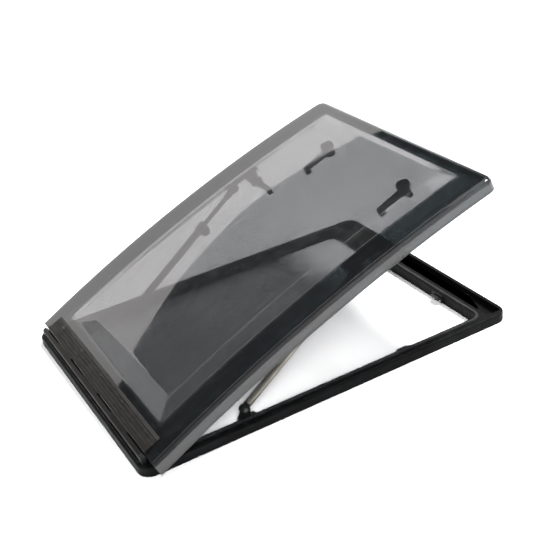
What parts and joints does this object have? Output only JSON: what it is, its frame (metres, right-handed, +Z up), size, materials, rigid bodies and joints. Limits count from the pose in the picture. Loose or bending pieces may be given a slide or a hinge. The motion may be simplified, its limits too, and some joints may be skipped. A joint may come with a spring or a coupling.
{
  "type": "roof vent cover",
  "caption": "Hinged roof hatch: bowed double-skin smoked acrylic lid on a black surface frame, telescopic stays and turn latches.",
  "frame": {"origin": "centre of the frame's underside, on the roof plane", "axes": "+X along the hinge, +Y from the hinge to the free edge, +Z up from the roof"},
  "size_m": [0.545, 0.74, 0.3038],
  "materials": {
    "frame_plastic": "fine textured black moulding",
    "seal_rubber": "matt black rubber",
    "dark_rail": "dark anodised ridged extrusion",
    "stay_metal": "drawn tube, satin anodised",
    "smoked_acrylic": "smoked transparent acrylic",
    "inner_acrylic": "lightly smoked transparent acrylic",
    "black_plastic": "satin black moulding",
    "pale_nylon": "natural nylon",
    "steel": "zinc plated"
  },
  "bodies": {
    "frame": {"base_frame": "frame_plastic", "frame_seal": "seal_rubber", "frame_hinge_rail": "dark_rail", "frame_rail_screws": "steel", "hinge_rod": "steel", "hinge_end_caps": "black_plastic", "stay_bracket_right": "black_plastic", "stay_bracket_left": "black_plastic", "stay_bracket_screws": "steel", "stay_base_pins": "steel", "front_strikers": "black_plastic", "side_strikers": "black_plastic", "striker_screws": "steel"},
    "lid": {"outer_pane": "smoked_acrylic", "inner_pane": "inner_acrylic", "lid_hinge_rail": "dark_rail", "lid_rail_screws": "steel", "side_plate_right": "black_plastic", "side_plate_left": "black_plastic", "side_plate_screws": "steel", "stay_top_pins": "steel", "latch_base_front_right": "black_plastic", "latch_base_front_left": "black_plastic", "latch_base_side_right": "black_plastic", "latch_base_side_left": "black_plastic", "latch_washers": "steel"},
    "stay_tube_right": {"stay_tube_right": "stay_metal", "tube_end_right": "black_plastic", "tube_bush_right": "pale_nylon", "clamp_collar_right": "black_plastic"},
    "stay_rod_right": {"stay_rod_right": "stay_metal", "rod_eye_right": "black_plastic"},
    "clamp_knob_right": {"clamp_knob_right": "black_plastic", "clamp_stud_right": "steel"},
    "stay_tube_left": {"stay_tube_left": "stay_metal", "tube_end_left": "black_plastic", "tube_bush_left": "pale_nylon", "clamp_collar_left": "black_plastic"},
    "stay_rod_left": {"stay_rod_left": "stay_metal", "rod_eye_left": "black_plastic"},
    "clamp_knob_left": {"clamp_knob_left": "black_plastic", "clamp_stud_left": "steel"},
    "latch_front_right": {"latch_lever_front_right": "black_plastic", "latch_spindle_front_right": "steel"},
    "latch_front_left": {"latch_lever_front_left": "black_plastic", "latch_spindle_front_left": "steel"},
    "latch_side_right": {"latch_lever_side_right": "black_plastic", "latch_spindle_side_right": "steel"},
    "latch_side_left": {"latch_lever_side_left": "black_plastic", "latch_spindle_side_left": "steel"}
  },
  "joints": [
    {"name": "lid_hinge", "type": "hinge", "parent": "frame", "child": "lid", "pos_m": [0, -0.358, 0.027], "axis": [1, 0, 0], "range_deg": [-22, 0]},
    {"name": "stay_pivot_right", "type": "hinge", "parent": "frame", "child": "stay_tube_right", "pos_m": [0.222, -0.167, 0.024], "axis": [1, 0, 0], "range_deg": [-35.86, 0]},
    {"name": "stay_slide_right", "type": "slide", "parent": "stay_tube_right", "child": "stay_rod_right", "axis": [0, 0.8104, 0.5859], "range_m": [-0.0237, 0]},
    {"name": "clamp_knob_right_turn", "type": "hinge", "parent": "stay_tube_right", "child": "clamp_knob_right", "pos_m": [0.2045, -0.00978, 0.13765], "axis": [-1, 0, 0], "range_deg": [0, 180]},
    {"name": "stay_pivot_left", "type": "hinge", "parent": "frame", "child": "stay_tube_left", "pos_m": [-0.222, -0.167, 0.024], "axis": [1, 0, 0], "range_deg": [-35.86, 0]},
    {"name": "stay_slide_left", "type": "slide", "parent": "stay_tube_left", "child": "stay_rod_left", "axis": [0, 0.8104, 0.5859], "range_m": [-0.0237, 0]},
    {"name": "clamp_knob_left_turn", "type": "hinge", "parent": "stay_tube_left", "child": "clamp_knob_left", "pos_m": [-0.2045, -0.00978, 0.13765], "axis": [1, 0, 0], "range_deg": [0, 180]},
    {"name": "latch_front_right_turn", "type": "hinge", "parent": "lid", "child": "latch_front_right", "pos_m": [0.126, 0.24768, 0.25769], "axis": [0, -0.3746, 0.9272], "range_deg": [0, 90]},
    {"name": "latch_front_left_turn", "type": "hinge", "parent": "lid", "child": "latch_front_left", "pos_m": [-0.126, 0.24768, 0.25769], "axis": [0, -0.3746, 0.9272], "range_deg": [-90, 0]},
    {"name": "latch_side_right_turn", "type": "hinge", "parent": "lid", "child": "latch_side_right", "pos_m": [0.216, 0.11788, 0.20525], "axis": [0, -0.3746, 0.9272], "range_deg": [-90, 0]},
    {"name": "latch_side_left_turn", "type": "hinge", "parent": "lid", "child": "latch_side_left", "pos_m": [-0.216, 0.11788, 0.20525], "axis": [0, -0.3746, 0.9272], "range_deg": [0, 90]}
  ],
  "couplings": [
    {"joint": "stay_pivot_right", "follows": "lid_hinge", "ratio": 1.6301},
    {"joint": "stay_slide_right", "follows": "lid_hinge", "m_per_rad": 0.061733},
    {"joint": "stay_pivot_left", "follows": "lid_hinge", "ratio": 1.6301},
    {"joint": "stay_slide_left", "follows": "lid_hinge", "m_per_rad": 0.061733}
  ]
}
